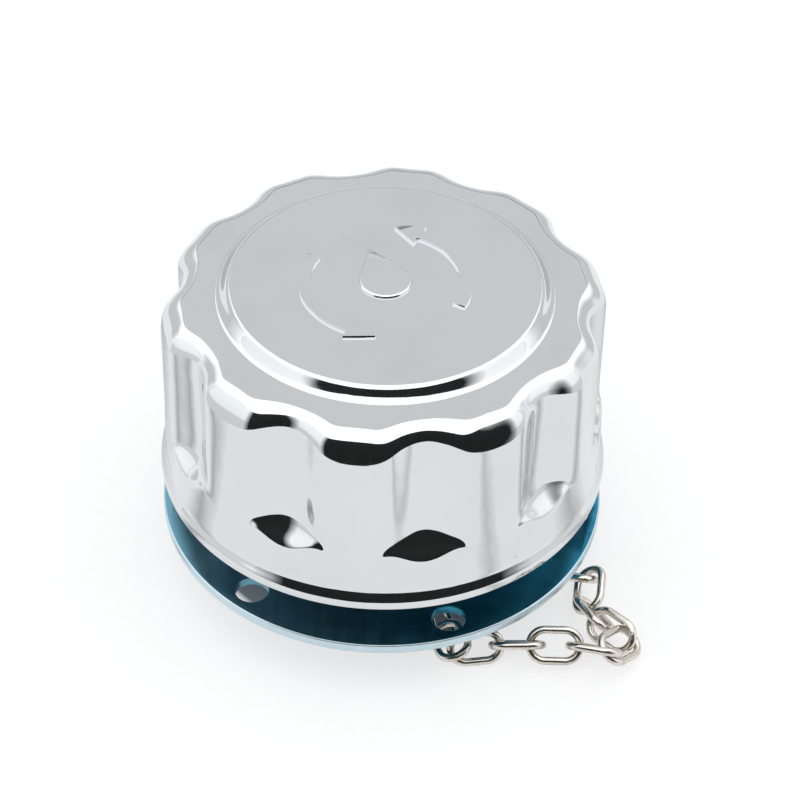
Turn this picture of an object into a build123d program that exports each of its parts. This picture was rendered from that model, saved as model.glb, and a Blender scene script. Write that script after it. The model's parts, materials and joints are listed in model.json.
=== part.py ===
from build123d import *
from math import atan2, cos, degrees, pi, radians, sin, sqrt
import os

# Filler and breather cap for a hydraulic tank, with its flange and retaining chain.
# Millimetres, +Z up. The origin is the centre of the flange's underside, the face
# that seats on the tank. The front of the cap faces -Y. Compass angles below are
# measured from the front (-Y), positive towards +X.

# ---------------------------------------------------------------- driving sizes
# tank flange
flange_dia = 83.0
flange_thk = 2.0
screw_count = 6
screw_circle_dia = 73.0
screw_hole_dia = 6.1
screw_turn = 20.0
collar_dia = 52.0
collar_wall = 1.5
collar_height = 11.0
collar_bend = 1.5
neck_bore_dia = 39.0
lip_thk = 1.5

# sleeve under the flange
sleeve_wall = 1.0
sleeve_drop = 10.0
sleeve_rise = 6.0
window_count = 4
window_angle = 71.0
window_height = 7.5
window_turn = 50.0

# cap shell
lip_dia = 83.0
skirt_dia = 81.0
shell_wall = 1.0
skirt_gap = 9.1
shell_height = 38.8
shell_fillet = 4.2
lobe_count = 10
lobe_turn = -7.0
flute_depth = 3.4
flute_radius = 8.0
flute_blend = 5.2
flute_step = 0.2
flute_foot_low = 11.8
flute_foot_high = 18.9
bead_height = 1.9
bead_blend = 2.6
disc_dia = 56.4
disc_foot_dia = 59.6
disc_rise = 2.3

# raised pictogram on the disc
mark_rise = 0.5
mark_turn = 19.0
drop_dia = 9.6
drop_height = 14.5
arrow_radius = 14.5
arrow_width = 2.4
arrow_half_angle = 46.0
arrow_head = 5.6

# parts inside the cap
stud_dia = 6.0
stud_head_dia = 18.0
stud_head_thk = 1.5
filter_dia = 63.0
filter_bore_dia = 38.8
filter_pleats = 40
pleat_depth = 1.6
core_wall = 0.8
core_hole_dia = 3.2
core_rows = 5
core_columns = 16
seal_thk = 1.2
pan_dia = 71.8
pan_thk = 1.2
pan_rim = 2.4
pan_hole_dia = 6.0
pan_hole_circle_dia = 24.0
pan_hole_count = 8
gasket_dia = 54.0
gasket_thk = 2.6
nut_flats = 10.0
clamp_nut_thk = 3.5
lock_nut_thk = 2.2
washer_dia = 14.0
thrust_washer_thk = 1.7
spring_washer_thk = 1.2

# bayonet
tab_reach = 22.0
bar_width = 12.0
bar_thk = 2.0
bar_joggle = 0.9
bar_lock_travel = 1.5
bar_lock_angle = 75.0
spring_length = 7.1
spring_wire = 1.4
spring_mean_dia = 10.2
spring_turns = 3.5

# swivel and chain
swivel_dia = 16.4
swivel_thk = 1.0
bail_wire = 1.6
bail_width = 14.0
bail_depth = 6.6
bail_corner = 2.4
chain_wire = 1.5
link_length = 10.8
link_width = 7.2
chain_opening = 3.45
anchor_turn = 90.5
anchor_level = -6.2
anchor_pin_dia = 1.6
anchor_head_dia = 4.4
anchor_head_thk = 1.2
anchor_clear = 6.4

# named clearances
gasket_gap = 0.1
running_gap = 0.08
axial_gap = 0.1
ramp_gap = 0.12
notch_gap = 0.6
sleeve_gap = 0.1
hook_gap = 0.1

# ---------------------------------------------------------------- derived levels
flange_top = flange_thk
collar_top = flange_top + collar_height
collar_inner_r = collar_dia / 2 - collar_wall
neck_r = neck_bore_dia / 2
lip_under = collar_top - lip_thk
skirt_foot = flange_top + skirt_gap
rim_z = skirt_foot + shell_height
disc_z = rim_z + disc_rise
gasket_under = collar_top + gasket_gap
pan_under = gasket_under + gasket_thk
pan_top = pan_under + pan_thk
seal_bottom_top = pan_top + seal_thk
seal_top_under = rim_z - shell_wall - seal_thk
head_top = disc_z - shell_wall
clamp_nut_under = pan_under - clamp_nut_thk
bar_centre_top = clamp_nut_under - thrust_washer_thk - axial_gap
bar_centre_under = bar_centre_top - bar_thk
tab_top = bar_centre_top + bar_joggle
spring_foot = bar_centre_under - spring_length
swivel_top = spring_foot - spring_washer_thk - axial_gap
swivel_under = swivel_top - swivel_thk
lock_nut_top = swivel_under - axial_gap
stud_end = lock_nut_top - lock_nut_thk - 0.6
bail_z = swivel_top - bail_depth
floor_z = -sleeve_drop
stud_r = stud_dia / 2
stud_hole_r = stud_r + running_gap
sleeve_outer_r = collar_inner_r - sleeve_gap


def compass(angle):
    """The standard angle about Z of a compass angle measured from the front."""
    return angle - 90.0


def ring(outer_r, inner_r, low, high):
    """A plain round washer between two levels."""
    with BuildPart() as washer:
        with BuildSketch(Plane.XY.offset(low)):
            Circle(outer_r)
            Circle(inner_r, mode=Mode.SUBTRACT)
        extrude(amount=high - low)
    return washer.part


def save(piece, name):
    piece.label = name
    export_step(piece, f"parts/{name}.step")


os.makedirs("parts", exist_ok=True)

# ---------------------------------------------------------------- tank flange
with BuildPart() as filler_flange:
    with BuildSketch():
        Circle(flange_dia / 2)
    extrude(amount=flange_thk)
    with BuildSketch(Plane.XY.offset(flange_top)):
        Circle(collar_dia / 2)
    extrude(amount=collar_height)
    foot = filler_flange.edges().filter_by(GeomType.CIRCLE).filter_by(
        lambda e: abs(e.radius - collar_dia / 2) < 0.01
    )
    fillet(foot, collar_bend)
    with BuildSketch():
        Circle(collar_inner_r)
    extrude(amount=lip_under, mode=Mode.SUBTRACT)
    with BuildSketch():
        Circle(neck_r)
        Rectangle(2 * (tab_reach + notch_gap), bar_width + 2 * notch_gap)
    extrude(amount=collar_top, mode=Mode.SUBTRACT)
    with BuildSketch():
        with PolarLocations(screw_circle_dia / 2, screw_count, start_angle=compass(screw_turn)):
            Circle(screw_hole_dia / 2)
    extrude(amount=flange_thk, mode=Mode.SUBTRACT)
save(filler_flange.part, "filler_flange")


# ---------------------------------------------------------------- cam ring
def ramp_level(angle):
    """Underside of the cam above a tab that has turned by this angle."""
    tab_half = degrees(atan2(bar_width / 2, tab_reach))
    return tab_top + ramp_gap - bar_lock_travel * (angle - tab_half) / bar_lock_angle


notch_half = degrees(atan2(bar_width / 2 + notch_gap, tab_reach))
ramp_end = bar_lock_angle + degrees(atan2(bar_width / 2, neck_r)) + 2.0
ramp_steps = 4
cam_foot = ramp_level(ramp_end) - 1.6
cutter_in = neck_r - 3.0
cutter_out = collar_inner_r + 3.0

with BuildPart() as cam_ring:
    with BuildSketch(Plane.XY.offset(cam_foot)):
        Circle(sleeve_outer_r)
        Circle(neck_r, mode=Mode.SUBTRACT)
    extrude(amount=lip_under - cam_foot)
    with BuildSketch(Plane.XY.offset(cam_foot)):
        Rectangle(2 * (tab_reach + notch_gap), bar_width + 2 * notch_gap)
    extrude(amount=lip_under - cam_foot, mode=Mode.SUBTRACT)
    for side in (0, 180):
        with BuildPart(mode=Mode.PRIVATE) as ramp_space:
            for step in range(ramp_steps + 1):
                angle = notch_half - 4 + (ramp_end - notch_half + 4) * step / ramp_steps
                section = Plane.XZ.rotated((0, 0, side - angle))
                with BuildSketch(section):
                    with BuildLine():
                        Polyline(
                            (cutter_in, cam_foot - 1),
                            (cutter_out, cam_foot - 1),
                            (cutter_out, ramp_level(angle)),
                            (cutter_in, ramp_level(angle)),
                            close=True,
                        )
                    make_face()
            loft(ruled=True)
        add(ramp_space.part, mode=Mode.SUBTRACT)
save(cam_ring.part, "cam_ring")

# ---------------------------------------------------------------- sleeve under the flange
window_half = radians(window_angle / 2)
anchor_head_r = sleeve_outer_r - sleeve_wall - anchor_clear - anchor_head_thk
anchor_outward = Vector(cos(radians(compass(anchor_turn))), sin(radians(compass(anchor_turn))), 0)
anchor_plane = Plane(origin=anchor_outward * anchor_head_r + Vector(0, 0, anchor_level), z_dir=anchor_outward)

with BuildPart() as neck_sleeve:
    with BuildSketch(Plane.XY.offset(floor_z)):
        Circle(sleeve_outer_r)
        Circle(sleeve_outer_r - sleeve_wall, mode=Mode.SUBTRACT)
    extrude(amount=sleeve_drop + sleeve_rise)
    for index in range(window_count):
        middle = compass(window_turn + index * 360 / window_count)
        reach = 1.3 * sleeve_outer_r
        with BuildSketch(Plane.XY.offset(floor_z)):
            with BuildLine():
                Polyline(
                    (0, 0),
                    (reach * cos(radians(middle) - window_half), reach * sin(radians(middle) - window_half)),
                    (reach * cos(radians(middle)), reach * sin(radians(middle))),
                    (reach * cos(radians(middle) + window_half), reach * sin(radians(middle) + window_half)),
                    close=True,
                )
            make_face()
        extrude(amount=window_height, mode=Mode.SUBTRACT)
    with BuildSketch(anchor_plane):
        Circle(anchor_pin_dia / 2)
    extrude(amount=sleeve_outer_r, mode=Mode.SUBTRACT)
save(neck_sleeve.part, "neck_sleeve")


# ---------------------------------------------------------------- cap shell
def cap_form(inset):
    """The outside of the cap without its disc, drawn in by an inset."""
    top = rim_z - inset
    foot_low = skirt_foot + flute_foot_low - 0.3 * inset
    foot_high = skirt_foot + flute_foot_high - 0.3 * inset
    skirt_r = skirt_dia / 2 - inset
    lip_r = lip_dia / 2 - inset
    neck_in = skirt_r - flute_depth - 1.5
    bottom = skirt_foot - (1.0 if inset else 0.0)
    first_flute = compass(lobe_turn + 180 / lobe_count)
    with BuildPart() as form:
        with BuildSketch(Plane.XY.offset(foot_low - 1)) as fluted:
            Circle(skirt_r - flute_step)
            flute_centre = skirt_dia / 2 - flute_step - flute_depth + flute_radius
            with PolarLocations(flute_centre, lobe_count, start_angle=first_flute):
                Circle(flute_radius + inset, mode=Mode.SUBTRACT)
            fillet(fluted.vertices(), flute_blend - inset)
        extrude(amount=top - foot_low + 1)
        fillet(form.faces().sort_by(Axis.Z)[-1].edges(), shell_fillet - inset)
        with BuildSketch(Plane.XZ):
            with BuildLine():
                bead_top = skirt_foot + bead_height
                Polyline((0, foot_high), (0, bottom), (lip_r, bottom), (lip_r, bead_top))
                Spline(
                    (lip_r, bead_top),
                    (skirt_r, bead_top + bead_blend),
                    tangents=((-0.6, 1), (0, 1)),
                )
                Polyline(
                    (skirt_r, bead_top + bead_blend),
                    (skirt_r, foot_low),
                    (neck_in, foot_high),
                    (0, foot_high),
                )
            make_face()
        revolve()
    return form.part


def disc_form(inset):
    """The raised disc on top of the cap, drawn in by an inset."""
    with BuildPart() as form:
        with BuildSketch(Plane.XZ):
            with BuildLine():
                Polyline(
                    (0, rim_z - 1.5 - inset),
                    (disc_foot_dia / 2 - inset, rim_z - 1.5 - inset),
                    (disc_foot_dia / 2 - inset, rim_z - inset),
                    (disc_dia / 2 - inset, disc_z - inset),
                    (0, disc_z - inset),
                    close=True,
                )
            make_face()
        revolve()
    return form.part


outside = cap_form(0.0)
inside = cap_form(shell_wall)
disc_outside = disc_form(0.0)
disc_inside = disc_form(shell_wall)

with BuildPart() as cap_shell:
    add(outside)
    add(disc_outside)
    add(inside, mode=Mode.SUBTRACT)
    add(disc_inside, mode=Mode.SUBTRACT)
    # drop in the middle, point away from the front
    with BuildSketch(Plane.XY.offset(disc_z).rotated((0, 0, mark_turn))):
        r = drop_dia / 2
        tip = drop_height - r
        lean = r * r / tip
        side = sqrt(r * r - lean * lean)
        with BuildLine():
            ThreePointArc((side, lean), (0, -r), (-side, lean))
            Polyline((-side, lean), (0, tip), (side, lean))
        make_face()
        # one turn arrow on each side
        for start in (0, 180):
            with BuildLine():
                outer = CenterArc((0, 0), arrow_radius + arrow_width / 2, start - arrow_half_angle,
                                  2 * arrow_half_angle)
                inner = CenterArc((0, 0), arrow_radius - arrow_width / 2, start - arrow_half_angle,
                                  2 * arrow_half_angle)
                Line(outer @ 0, inner @ 0)
                Line(outer @ 1, inner @ 1)
            make_face()
            tip_angle = radians(start + arrow_half_angle)
            along = Vector(-sin(tip_angle), cos(tip_angle))
            across = Vector(cos(tip_angle), sin(tip_angle))
            middle = across * arrow_radius - along * 0.2
            with BuildLine():
                Polyline(
                    middle + across * arrow_head / 2,
                    middle + along * arrow_head * 0.9,
                    middle - across * arrow_head / 2,
                    close=True,
                )
            make_face()
    extrude(amount=mark_rise)
save(cap_shell.part, "cap_shell")

# ---------------------------------------------------------------- parts inside the cap
with BuildPart() as centre_stud:
    with BuildSketch(Plane.XY.offset(head_top - stud_head_thk)):
        Circle(stud_head_dia / 2)
    extrude(amount=stud_head_thk)
    with BuildSketch(Plane.XY.offset(stud_end)):
        Circle(stud_r)
    extrude(amount=head_top - stud_end)
    chamfer(centre_stud.faces().sort_by(Axis.Z)[0].edges(), 0.6)
save(centre_stud.part, "centre_stud")

seal_outer_r = filter_dia / 2 + 0.5
seal_inner_r = filter_bore_dia / 2 - core_wall - 0.4
save(ring(seal_outer_r, seal_inner_r, seal_top_under, rim_z - shell_wall), "upper_filter_seal")
save(ring(seal_outer_r, seal_inner_r, pan_top, seal_bottom_top), "lower_filter_seal")

with BuildPart() as filter_element:
    fold = 360.0 / filter_pleats
    with BuildSketch(Plane.XY.offset(seal_bottom_top)):
        with BuildLine():
            crest = filter_dia / 2
            folds = []
            for index in range(filter_pleats):
                for part, reach in ((0.0, crest), (0.5, crest - pleat_depth)):
                    angle = radians(fold * (index + part))
                    folds.append((reach * cos(angle), reach * sin(angle)))
            Polyline(*folds, close=True)
        make_face()
        Circle(filter_bore_dia / 2, mode=Mode.SUBTRACT)
    extrude(amount=seal_top_under - seal_bottom_top)
save(filter_element.part, "filter_element")

core_outer_r = filter_bore_dia / 2 - 0.1
core_height = seal_top_under - seal_bottom_top
with BuildPart() as filter_core:
    with BuildSketch(Plane.XY.offset(seal_bottom_top)):
        Circle(core_outer_r)
        Circle(core_outer_r - core_wall, mode=Mode.SUBTRACT)
    extrude(amount=core_height)
    for row in range(core_rows):
        level = seal_bottom_top + core_height * (row + 0.5) / core_rows
        for column in range(core_columns // 2):
            turn = 360.0 * (column + 0.5 * (row % 2)) / core_columns
            with BuildSketch(Plane.XZ.offset(-core_outer_r - 1).move(Location((0, 0, 0), (0, 0, turn)))):
                with Locations((0, level)):
                    Circle(core_hole_dia / 2)
            extrude(amount=2 * core_outer_r + 2, mode=Mode.SUBTRACT)
save(filter_core.part, "filter_core")

with BuildPart() as inner_pan:
    with BuildSketch(Plane.XY.offset(pan_under)):
        Circle(pan_dia / 2)
    extrude(amount=pan_thk + pan_rim)
    with BuildSketch(Plane.XY.offset(pan_top)):
        Circle(pan_dia / 2 - pan_thk)
    extrude(amount=pan_rim, mode=Mode.SUBTRACT)
    fillet(inner_pan.faces().sort_by(Axis.Z)[0].edges(), 0.9)
    with BuildSketch(Plane.XY.offset(pan_under)):
        Circle(stud_hole_r)
        with PolarLocations(pan_hole_circle_dia / 2, pan_hole_count):
            Circle(pan_hole_dia / 2)
    extrude(amount=pan_thk, mode=Mode.SUBTRACT)
save(inner_pan.part, "inner_pan")

save(ring(gasket_dia / 2, neck_r, gasket_under, pan_under), "cap_gasket")


def hex_nut(low, height):
    """A chamfered hexagon nut on the stud."""
    with BuildPart() as nut:
        with BuildSketch(Plane.XY.offset(low)):
            RegularPolygon(nut_flats / 2, 6, major_radius=False)
            Circle(stud_r, mode=Mode.SUBTRACT)
        extrude(amount=height)
        with BuildSketch(Plane.XZ):
            with BuildLine():
                corner = nut_flats / sqrt(3)
                trim = 0.5
                Polyline(
                    (0, low),
                    (corner - trim, low),
                    (corner + 0.01, low + trim),
                    (corner + 0.01, low + height - trim),
                    (corner - trim, low + height),
                    (0, low + height),
                    close=True,
                )
            make_face()
        revolve(mode=Mode.INTERSECT)
    return nut.part


save(hex_nut(clamp_nut_under, clamp_nut_thk), "clamp_nut")
save(hex_nut(lock_nut_top - lock_nut_thk, lock_nut_thk), "lock_nut")
washer_r = washer_dia / 2
save(ring(washer_r, stud_hole_r, clamp_nut_under - thrust_washer_thk, clamp_nut_under), "thrust_washer")
save(ring(washer_r, stud_hole_r, spring_foot - spring_washer_thk, spring_foot), "spring_washer")

# ---------------------------------------------------------------- bayonet bar and spring
joggle_in = washer_dia / 2 + 2.0
joggle_out = joggle_in + 3.0

with BuildPart() as bayonet_bar:
    with BuildSketch(Plane.XZ.offset(-bar_width / 2)):
        with BuildLine():
            upper = [(0, 0), (joggle_in, 0), (joggle_out, bar_joggle), (tab_reach, bar_joggle)]
            right = [(x, bar_centre_top + z) for x, z in upper]
            left = [(-x, bar_centre_top + z) for x, z in upper[:0:-1]]
            under = [(x, z - bar_thk) for x, z in (left + right)[::-1]]
            Polyline(*left, *right, *under, close=True)
        make_face()
    extrude(amount=bar_width)
    with BuildSketch(Plane.XY.offset(bar_centre_under)):
        Circle(stud_hole_r)
    extrude(amount=bar_thk, mode=Mode.SUBTRACT)
    upright = bayonet_bar.edges().filter_by(Axis.Z)
    fillet(upright.filter_by(lambda e: abs(abs(e.center().X) - tab_reach) < 0.01), 2.0)
save(bayonet_bar.part, "bayonet_bar")

spring_rise = spring_length - spring_wire - 0.1
with BuildPart() as bar_spring:
    with BuildLine():
        coil = Helix(
            pitch=spring_rise / spring_turns,
            height=spring_rise,
            radius=spring_mean_dia / 2,
            center=(0, 0, spring_foot + spring_wire / 2 + 0.05),
        )
    with BuildSketch(Plane(origin=coil @ 0, z_dir=coil % 0)):
        Circle(spring_wire / 2)
    sweep(path=coil, is_frenet=True)
save(bar_spring.part, "bar_spring")

# ---------------------------------------------------------------- swivel
strand_turn = 25.0
swivel_axis = compass(strand_turn) + 90
bail_plane = Plane.XZ.rotated((0, 0, swivel_axis))

with BuildPart() as chain_swivel:
    with BuildSketch(Plane.XY.offset(swivel_under)):
        Circle(swivel_dia / 2)
        Circle(stud_hole_r, mode=Mode.SUBTRACT)
    extrude(amount=swivel_thk)
    with BuildLine(bail_plane):
        half = bail_width / 2
        bail = FilletPolyline(
            (-half, swivel_under + 0.3), (-half, bail_z), (half, bail_z), (half, swivel_under + 0.3),
            radius=bail_corner,
        )
    with BuildSketch(Plane(origin=bail @ 0, z_dir=bail % 0)):
        Circle(bail_wire / 2)
    sweep(path=bail)
save(chain_swivel.part, "chain_swivel")

# ---------------------------------------------------------------- chain
# Each link is given as heading, climb, roll and slack. The heading is the angle about
# Z from +X, the roll turns the oval about its own length, and the slack is how far
# short of the last link's end it hooks in. The first three links hang on the swivel
# and lie inside the sleeve. There the chain is opened: the fourth link starts clear of
# the third. The rest run out of the window, over the ground and back to the anchor.
link_turns = [
    (-65, -5, 45, 0), (-65, 0, -45, 0), (-65, 0, 45, 0),
    (-80, -1, -43, -chain_opening), (-70, 8, 19, 2.5), (5, 4, 66, 1.1),
    (0, 2, -44, 0), (-2, 1, 46, 0.7), (-19, 8, -45, 0.3), (49, -19, 29, 1.2),
    (137, 0, -49, 1.2), (121, -1, 45, 2.6), (84, 9, -40, 1.4), (156, -14, 41, 1.3),
    (173, -2, -33, 0.8), (115, 8, 40, 0.7), (112, 3, -77, 0),
]
wire_r = chain_wire / 2
link_pitch = link_length - 2 * chain_wire - 2 * hook_gap
bend_r = link_width / 2 - wire_r
half_straight = (link_length - link_width) / 2
hook_reach = bail_wire / 2 + wire_r + hook_gap


def link_frame(heading, climb, roll):
    """Length and width directions of a link."""
    heading, climb, roll = radians(heading), radians(climb), radians(roll)
    along = Vector(cos(heading) * cos(climb), sin(heading) * cos(climb), sin(climb))
    side = Vector(-sin(heading), cos(heading), 0)
    upward = along.cross(side)
    return along, side * cos(roll) + upward * sin(roll)


def chain_link(start, along, width):
    """One oval link of round wire, from the point where it meets the last one."""
    middle = start + along * (link_pitch / 2)
    plane = Plane(origin=middle, x_dir=along, z_dir=along.cross(width))
    with BuildPart() as link:
        with BuildLine(plane):
            Line((-half_straight, bend_r), (half_straight, bend_r))
            CenterArc((half_straight, 0), bend_r, -90, 180)
            Line((half_straight, -bend_r), (-half_straight, -bend_r))
            CenterArc((-half_straight, 0), bend_r, 90, 180)
        section_at = plane.from_local_coords(Vector(0, bend_r, 0))
        with BuildSketch(Plane(origin=section_at, z_dir=along)):
            Circle(wire_r)
        sweep()
    return link.part


start = Vector(0, 0, bail_z)
along, width = link_frame(*link_turns[0][:3])
start = start + along * (link_length - 2 * wire_r - hook_reach - hook_gap / 2 - wire_r - link_pitch)
for number, (heading, climb, roll, slack) in enumerate(link_turns, 1):
    start = start - along * slack
    along, width = link_frame(heading, climb, roll)
    save(chain_link(start, along, width), f"chain_link_{number:02d}")
    start = start + along * link_pitch

with BuildPart() as chain_anchor:
    with BuildSketch(anchor_plane):
        Circle(anchor_head_dia / 2)
    extrude(amount=anchor_head_thk)
    with BuildSketch(anchor_plane):
        Circle(anchor_pin_dia / 2)
    extrude(amount=sleeve_outer_r - 0.1 - anchor_head_r)
    fillet(chain_anchor.edges().filter_by(lambda e: abs(e.length - pi * anchor_head_dia) < 0.01), 0.3)
save(chain_anchor.part, "chain_anchor")
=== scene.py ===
# %% [markdown]
# # A chromed filler and breather cap on its tank flange
# The object is a pressed steel cap, plated with bright chrome, that closes the filler neck
# of a hydraulic tank. It sits on a flat flange with six screw holes, and a short chain of
# plated wire links keeps it from getting lost. The solid model is already packed, so this
# notebook only loads it, keeps every part where it is, and builds the surfaces on it.

# %% Load the frame
import json
from math import atan2, cos, pi, radians, sin, sqrt

import bmesh
import bpy
import numpy as np
from mathutils import Matrix, Vector

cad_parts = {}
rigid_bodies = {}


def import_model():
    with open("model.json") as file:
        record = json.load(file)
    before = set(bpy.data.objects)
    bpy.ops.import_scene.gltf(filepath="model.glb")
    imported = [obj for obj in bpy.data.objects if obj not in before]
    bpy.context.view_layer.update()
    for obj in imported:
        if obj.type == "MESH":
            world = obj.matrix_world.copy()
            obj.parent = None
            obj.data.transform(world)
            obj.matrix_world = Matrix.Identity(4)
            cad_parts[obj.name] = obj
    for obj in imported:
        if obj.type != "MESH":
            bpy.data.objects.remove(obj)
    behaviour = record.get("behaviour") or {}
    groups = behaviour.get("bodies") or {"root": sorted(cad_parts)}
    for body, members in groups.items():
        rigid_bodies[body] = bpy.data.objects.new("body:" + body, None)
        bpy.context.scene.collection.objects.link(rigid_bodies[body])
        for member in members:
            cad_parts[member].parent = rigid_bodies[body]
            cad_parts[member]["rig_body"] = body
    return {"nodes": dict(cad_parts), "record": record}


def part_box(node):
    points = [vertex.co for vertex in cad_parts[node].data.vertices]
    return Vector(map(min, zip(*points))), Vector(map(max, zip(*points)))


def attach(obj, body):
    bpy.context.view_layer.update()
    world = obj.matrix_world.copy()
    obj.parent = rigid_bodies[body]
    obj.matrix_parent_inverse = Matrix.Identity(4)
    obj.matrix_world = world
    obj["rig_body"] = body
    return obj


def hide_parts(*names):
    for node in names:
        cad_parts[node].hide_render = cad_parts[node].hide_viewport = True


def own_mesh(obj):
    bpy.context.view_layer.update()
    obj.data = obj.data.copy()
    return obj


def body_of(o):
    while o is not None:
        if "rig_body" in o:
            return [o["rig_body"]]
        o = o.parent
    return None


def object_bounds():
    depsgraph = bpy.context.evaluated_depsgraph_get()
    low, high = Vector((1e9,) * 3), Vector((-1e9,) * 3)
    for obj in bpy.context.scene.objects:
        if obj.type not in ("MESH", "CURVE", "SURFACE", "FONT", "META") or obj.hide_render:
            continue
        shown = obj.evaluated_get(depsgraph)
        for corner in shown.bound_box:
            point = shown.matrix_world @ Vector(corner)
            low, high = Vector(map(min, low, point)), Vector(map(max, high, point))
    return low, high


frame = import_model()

cad_low, cad_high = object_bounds()
print("CAD box (m):", [round(v, 4) for v in cad_low], [round(v, 4) for v in cad_high])

# %% [markdown]
# ## Asking the frame
# Sizes below are in millimetres, except for the studio round the object, which is in metres.
# Two questions come up again and again: how high a part reaches, and which body it belongs
# to. Both are asked of the frame, so a change in the CAD model carries over.

# %% Questions to the frame
MM = 0.001
TAU = 2 * pi


def home_body(node):
    """The body that a CAD node belongs to."""
    return body_of(frame["nodes"][node])[0]


def level(node, top=True):
    """Height in millimetres of the top or the underside of a CAD node."""
    low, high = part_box(node)
    return (high if top else low).z / MM


print("cap from", round(level("cap_shell", top=False), 2), "to", round(level("cap_shell"), 2), "mm")

# %% [markdown]
# ## Camera
# A small shiny thing is best seen from far away with a long lens, because a near camera
# would swell the front of the cap. The camera looks down at about 44 degrees.
# It could be placed by eye and nudged, but giving its distance, height and aim as numbers
# keeps the view the same each time. A very small roll matches a tripod that is not level.

# %% Place the camera
CAMERA_DISTANCE = 498.0
CAMERA_PITCH = 43.76
CAMERA_ROLL = 0.97
LENS_MM = 117.53
SENSOR_MM = 36.0
AIM_HEIGHT = 2.0
AIM_RIGHT = 0.00685
AIM_UP = 0.03274


def add_camera():
    pitch = radians(CAMERA_PITCH)
    ahead = Vector((0, cos(pitch), -sin(pitch)))
    right = Vector((1, 0, 0))
    above = Vector((0, sin(pitch), cos(pitch)))
    target = Vector((0, 0, AIM_HEIGHT))
    place = (target - CAMERA_DISTANCE * ahead) * MM
    roll = radians(CAMERA_ROLL)
    side = right * cos(roll) + above * sin(roll)
    head = above * cos(roll) - right * sin(roll)
    look = (ahead + side * AIM_RIGHT + head * AIM_UP).normalized()
    side = (side - look * side.dot(look)).normalized()
    head = side.cross(look)
    turn = Matrix((side, head, -look)).transposed().to_4x4()
    bpy.ops.object.camera_add()
    camera = bpy.context.object
    camera.name = "studio_camera"
    camera.matrix_world = Matrix.Translation(place) @ turn
    camera.data.sensor_width = SENSOR_MM
    camera.data.lens = LENS_MM
    camera.data.clip_start = 0.01
    camera.data.clip_end = 20.0
    bpy.context.scene.camera = camera
    return camera


camera = add_camera()
print("camera at (m):", [round(v, 4) for v in camera.location])

# %% [markdown]
# ## Writing shader maths as expressions
# Every finish below is built from nodes. Wiring them by hand in code is long and hides the
# idea, so a small class wraps one socket: adding, subtracting or multiplying two wrapped
# sockets adds the Math node that does it. One method, `node`, adds any other node.

# %% A small shader sketchbook


class Value:
    """One output socket of a node, ready for arithmetic."""

    def __init__(self, recipe, socket):
        self.recipe, self.socket = recipe, socket

    def _math(self, operation, first, second, clamp=False):
        return self.recipe.node("ShaderNodeMath", {0: first, 1: second}, operation=operation, use_clamp=clamp)

    def __add__(self, other):
        return self._math("ADD", self, other)

    def __radd__(self, other):
        return self._math("ADD", other, self)

    def __sub__(self, other):
        return self._math("SUBTRACT", self, other)

    def __rsub__(self, other):
        return self._math("SUBTRACT", other, self)

    def __mul__(self, other):
        return self._math("MULTIPLY", self, other)

    def __rmul__(self, other):
        return self._math("MULTIPLY", other, self)

    def __truediv__(self, other):
        return self._math("DIVIDE", self, other)

    def __pow__(self, other):
        return self._math("POWER", self, other)

    def above(self, edge, soft):
        """0 below the edge, 1 above it, with a soft step between."""
        return self._math("MULTIPLY_ADD", self, 1 / soft, clamp=True).offset(0.5 - edge / soft)

    def offset(self, amount):
        self.socket.node.inputs[2].default_value = amount
        return self

    def at_least(self, other):
        return self._math("MAXIMUM", self, other)

    def absolute(self):
        return self._math("ABSOLUTE", self, 0.0)


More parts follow.
